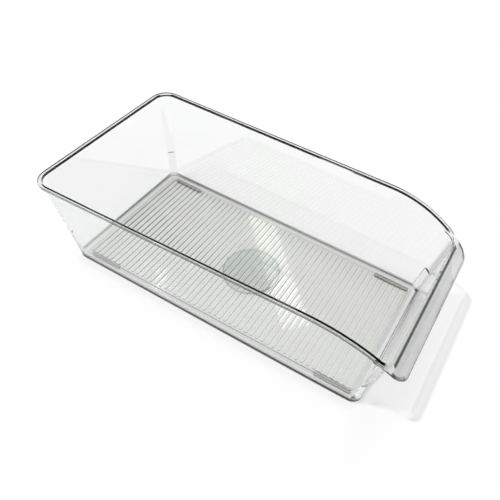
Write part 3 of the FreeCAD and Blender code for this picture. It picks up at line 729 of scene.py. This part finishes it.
def shellPaintedShade(centre, normal):
    # the painted shade of the first place that a face is in: crease, lip, base, foot, floor ring,
    # rim bead, ribs or seats
    floor, flat = bin["floor"], abs(normal.z)
    across = normal.x * centre.x / paintedShadePlaces["acrossScale"]
    along = normal.y * centre.y / paintedShadePlaces["alongScale"]
    outward = across + along
    depth = rimHeight(centre.y) - centre.z

    limits = paintedShadePlaces["crease"]
    if (abs(centre.y - lip["creaseY"] - limits["behind"]) < limits["reach"]
            and centre.z > limits["low"] and flat > limits["flat"]):
        return limits["shade"] if abs(centre.x) < limits["half"] else 0.0

    limits = paintedShadePlaces["lip"]
    if centre.y < lip["creaseY"] - limits["gap"] and centre.z > limits["low"]:
        return lipPaintedShade(centre)

    limits = paintedShadePlaces["base"]
    if centre.z < limits["high"] and limits["steep"] < flat < limits["flat"]:
        if normal.z < 0:
            return limits["outerShade"]
        atFront = centre.y < floor["front"] + limits["frontReach"]
        return limits["innerShade"] * (limits["frontShare"] if atFront else 1)

    limits = paintedShadePlaces["foot"]
    if centre.z < bin["leanZ"] and outward > limits["outward"] and flat < limits["flat"]:
        return limits["shade"]

    limits = paintedShadePlaces["floorRing"]
    inside = (abs(centre.x) <= limits["half"]
              and floor["front"] + limits["end"] < centre.y < floor["back"] - limits["end"])
    if abs(centre.z - bin["floorZ"]) < close and not inside:
        return limits["shade"]

    limits = paintedShadePlaces["bead"]
    if (limits["below"] < depth < bin["rimThickness"] + limits["beyond"]
            and outward > 0 and flat < limits["flat"]):
        return limits["shade"]

    limits = paintedShadePlaces["stackRib"]
    if abs(centre.z - ribTop) < limits["topReach"] and normal.z > limits["topFlat"]:
        return limits["topShade"]
    if limits["low"] < centre.z < ribTop and max(across, along) < -limits["inward"]:
        return limits["faceShade"]

    limits = paintedShadePlaces["seat"]
    if (centre.z < limits["high"] and flat < limits["flat"]
            and outward < limits["outward"]):
        return limits["shade"]
    return 0.0


# painted shade on the panel: dark on its edges, on the steep sides of its ribs by how far they face
# along Y, and on its margin
def panelPaintedShade(centre, normal):
    limits = paintedShadePlaces["panel"]
    if abs(normal.z) < limits["steep"]:
        onEdge = centre.z < panelTop - close
        return limits["edgeShade"] if onEdge else limits["ribShade"] * abs(normal.y)
    inside = (abs(centre.x) <= limits["half"]
              and firstY + limits["end"] < centre.y < lastY - limits["end"])
    return limits["marginShade"] if abs(centre.z - panelTop) < close and not inside else 0.0


def frontThin(centre, normal):
    # the front wall is partly plain clear, as it would mirror too much when seen nearly edge on
    inWall = (centre.y <= bin["floor"]["front"]
              and frontWall["low"] <= centre.z <= bin["frontBandZ"])
    facing = (abs(normal.y) - frontWall["faceFrom"]) / frontWall["faceOver"]
    return frontWall["thin"] * min(1.0, max(0.0, facing)) if inWall else 0.0


# each face's "edge" number is its painted shade; "thin" makes the front wall partly plain clear
markFaces(shell, "edge", shellPaintedShade)
markFaces(shell, "thin", frontThin)
markFaces(plate, "edge", panelPaintedShade)
shellFinish = clearMaterial("clearShellPlastic", clearPlastic)
panelFinish = clearMaterial("clearRibbedPlastic", ribbedPlastic)
finishPiece(shell, shellFinish)
finishPiece(plate, panelFinish)


def matteMaterial(name, look):
    # Fine-grained colour with a thin line of painted shade round the outline: a circle where the
    # look has a radius, and otherwise a slanting strip that is mirrored across the width and the
    # length.
    material, graph = newMaterial(name)
    place = graph.put("ShaderNodeTexCoord", output="Object")
    grain = graph.put("ShaderNodeTexNoise", None, {"Vector": place, "Scale": 900.0, "Detail": 3.0})
    tint = graph.put("ShaderNodeValToRGB", {"stops": [
        (0.3, tuple(c * 0.95 for c in look["colour"]) + (1,)),
        (0.7, look["colour"] + (1,)),
    ]}, {"Fac": grain})
    x, y = (graph.put("ShaderNodeSeparateXYZ", None, {0: place}, output) for output in ("X", "Y"))
    if "radius" in look:
        flat = graph.put("ShaderNodeCombineXYZ", None, {0: x, 1: y - look["centreY"]})
        inside = look["radius"] - graph.put("ShaderNodeVectorMath", {"operation": "LENGTH"},
                                            {0: flat}, output="Value")
    else:
        across = look["halfAcross"] - abs(
            abs(x) - look["centreX"] - (y - look["middleY"]) * look["slant"])
        along = look["halfAlong"] - abs(abs(y - look["middleY"]) - look["centreY"])
        inside = across.maths("MINIMUM", across, along)
    line = graph.put("ShaderNodeMapRange", {"clamp": True}, {
        "Value": inside, "From Min": look["lineWidth"] * 0.7, "From Max": look["lineWidth"],
        "To Min": look["lineShade"], "To Max": 0.0,
    })
    tint = graph.put("ShaderNodeMix", {"data_type": "RGBA"},
                     {0: line, 6: tint, 7: look["outlineShadeColour"] + (1,)}, output=2)
    bump = graph.put("ShaderNodeBump", None, {"Height": grain, "Strength": 0.15,
                                              "Distance": 0.0004})
    shader = graph.put("ShaderNodeBsdfPrincipled", None, {
        "Base Color": tint, "Roughness": look["roughness"], "Normal": bump,
    })
    graph.put("ShaderNodeOutputMaterial", None, {"Surface": shader})
    return material


# lineWidth, lineShade and the line colour paint a thin line of shade round the outline of the disc
# and of each foot
matteDisc = {
    "colour": (0.94, 0.985, 0.975), "roughness": 0.6,
    "lineWidth": 0.0011, "lineShade": 0.6, "outlineShadeColour": (0.05, 0.055, 0.052),
}
matteFoot = {
    "colour": (0.93, 0.94, 0.93), "roughness": 0.7, "halfAcross": 0.0019,
    "lineWidth": 0.0006, "lineShade": 0.9, "outlineShadeColour": (0.05, 0.055, 0.052),
}
discLow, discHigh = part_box("base_disc")
footLow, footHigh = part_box("foot_back_right")
frontLow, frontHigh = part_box("foot_front_right")
backY, frontY = (footLow.y + footHigh.y) / 2, (frontLow.y + frontHigh.y) / 2
discFinish = matteMaterial("greyDiscPlastic", {
    **matteDisc,
    "radius": (discHigh.x - discLow.x) / 2, "centreY": (discLow.y + discHigh.y) / 2,
})
footFinish = matteMaterial("greyFootRubber", {
    **matteFoot,
    "centreX": (footLow.x + footHigh.x + frontLow.x + frontHigh.x) / 4,
    "slant": (footLow.x + footHigh.x - frontLow.x - frontHigh.x) / 2 / (backY - frontY),
    "middleY": (backY + frontY) / 2, "centreY": (backY - frontY) / 2,
    "halfAlong": (footHigh.y - footLow.y) / 2,
})
for name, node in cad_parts.items():
    if name.startswith("foot_") or name == "base_disc":
        node.data.materials.clear()
        node.data.materials.append(discFinish if name == "base_disc" else footFinish)

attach(shell, "bin")
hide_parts("bin_shell")
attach(plate, "panel")
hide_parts("floor_liner")
print("finishes given")

# A matte floor with some plain white mixed in, for the camera and for what clear pieces show
studio = {
    "floorSize": 12.0, "floorZ": -0.0002, "floorColour": 0.7, "whiteShare": 0.3,
    "whiteStrength": 1.72,
    "backdrop": 1.0, "light": 0.45,  # the world, as the camera sees it and as it lights
    "whiteUpTo": 0.05, "darkFrom": 0.12, "dark": 0.03,  # what clear pieces see, by height
}
deselectAll()
bpy.ops.mesh.primitive_plane_add(size=studio["floorSize"], location=(0, 0, studio["floorZ"]))
ground = bpy.context.object
ground.name = "studioFloor"
groundFinish, graph = newMaterial("studioFloorPaint")
rayTypes = [graph.put("ShaderNodeLightPath", None, None, output)
            for output in ("Is Camera Ray", "Is Glossy Ray", "Is Transmission Ray")]
seen = graph.put("ShaderNodeMath", {"operation": "MAXIMUM"}, {0: rayTypes[0], 1: rayTypes[1]})
seen = graph.put("ShaderNodeMath", {"operation": "MAXIMUM"}, {0: seen, 1: rayTypes[2]})
paint = graph.put("ShaderNodeBsdfDiffuse", None, {"Color": (studio["floorColour"],) * 3 + (1,)})
glow = graph.put("ShaderNodeEmission", None, {"Strength": studio["whiteStrength"]})
both = graph.put("ShaderNodeMixShader", None, {0: seen * studio["whiteShare"], 1: paint, 2: glow})
graph.put("ShaderNodeOutputMaterial", None, {"Surface": both})
ground.data.materials.append(groundFinish)

# The camera sees a white world, and a dimmer white one lights every piece. What clear pieces mirror
# or bend into view is white up to just over the horizon and dark above it, which draws their edges.
world = bpy.data.worlds.new("studioWorld")
scene.world = world
graph = Graph(world)
direction = graph.put("ShaderNodeTexCoord", output="Generated")
height = graph.put("ShaderNodeSeparateXYZ", None, {0: direction}, output="Z")
white, dark = (1.0, 1.0, 1.0, 1), (studio["dark"],) * 3 + (1,)
darkAbove = graph.put("ShaderNodeValToRGB", {"stops": [
    (0.0, white), (studio["whiteUpTo"], white), (studio["darkFrom"], dark), (1.0, dark),
]}, {"Fac": height})
ray = {name: graph.put("ShaderNodeLightPath", None, None, name) for name in (
    "Is Camera Ray", "Is Glossy Ray", "Is Transmission Ray", "Diffuse Depth")}
clearRay = graph.put("ShaderNodeMath", {"operation": "MAXIMUM"},
                     {0: ray["Is Glossy Ray"], 1: ray["Is Transmission Ray"]})
lighting = graph.put("ShaderNodeMath", {"operation": "MINIMUM"},
                     {0: ray["Diffuse Depth"], 1: 1.0})
lit = graph.put("ShaderNodeBackground", None, {"Color": white, "Strength": studio["light"]})
mirrored = graph.put("ShaderNodeBackground", None, {"Color": darkAbove, "Strength": 1.0})
mixed = graph.put("ShaderNodeMixShader", None, {0: clearRay * (1 - lighting), 1: lit, 2: mirrored})
backdrop = graph.put("ShaderNodeBackground", None,
                     {"Color": white, "Strength": studio["backdrop"]})
mixed = graph.put("ShaderNodeMixShader", None, {0: ray["Is Camera Ray"], 1: mixed, 2: backdrop})
graph.put("ShaderNodeOutputWorld", None, {"Surface": mixed})

# Two strip lights on the far side, for the glints on the panel
strips = {
    "height": 1.5,  # metres, with each end as a share of it
    "first": {"ends": ((0.99, 0.56), (0.62, 0.20)), "width": 0.12, "strength": 2.3},
    "second": {"ends": ((0.58, 0.66), (0.40, 0.56)), "width": 0.05, "strength": 3.0},
}
for name in ("first", "second"):
    (x1, y1), (x2, y2) = strips[name]["ends"]
    start = Vector((x1, y1, 1)) * strips["height"]
    end = Vector((x2, y2, 1)) * strips["height"]
    deselectAll()
    bpy.ops.object.light_add(type="AREA", location=(start + end) / 2)
    strip = bpy.context.object
    strip.name = name + "Strip"
    strip.rotation_euler = (0, 0, math.atan2(end.y - start.y, end.x - start.x))
    strip.data.shape = "RECTANGLE"
    strip.data.size, strip.data.size_y = (end - start).length, strips[name]["width"]
    area = strip.data.size * strip.data.size_y
    strip.data.energy = strips[name]["strength"] * area * math.pi

# A hard sun for the shadow and a soft one to fill it
suns = {
    "key": {"strength": 1.55, "angle": 2.5, "towards": (0.23, -0.33, -0.92)},
    "fill": {"strength": 0.5, "angle": 24.0, "towards": (-0.68, -0.05, -0.73)},
}
for name, sun in suns.items():
    deselectAll()
    bpy.ops.object.light_add(type="SUN", location=(0, 0, 1.5))
    lamp = bpy.context.object
    lamp.name = name + "Sun"
    lamp.rotation_euler = Vector(sun["towards"]).to_track_quat("-Z", "Y").to_euler()
    lamp.data.energy, lamp.data.angle = sun["strength"], math.radians(sun["angle"])
    lamp.visible_glossy = lamp.visible_transmission = False
print("floor and world made")
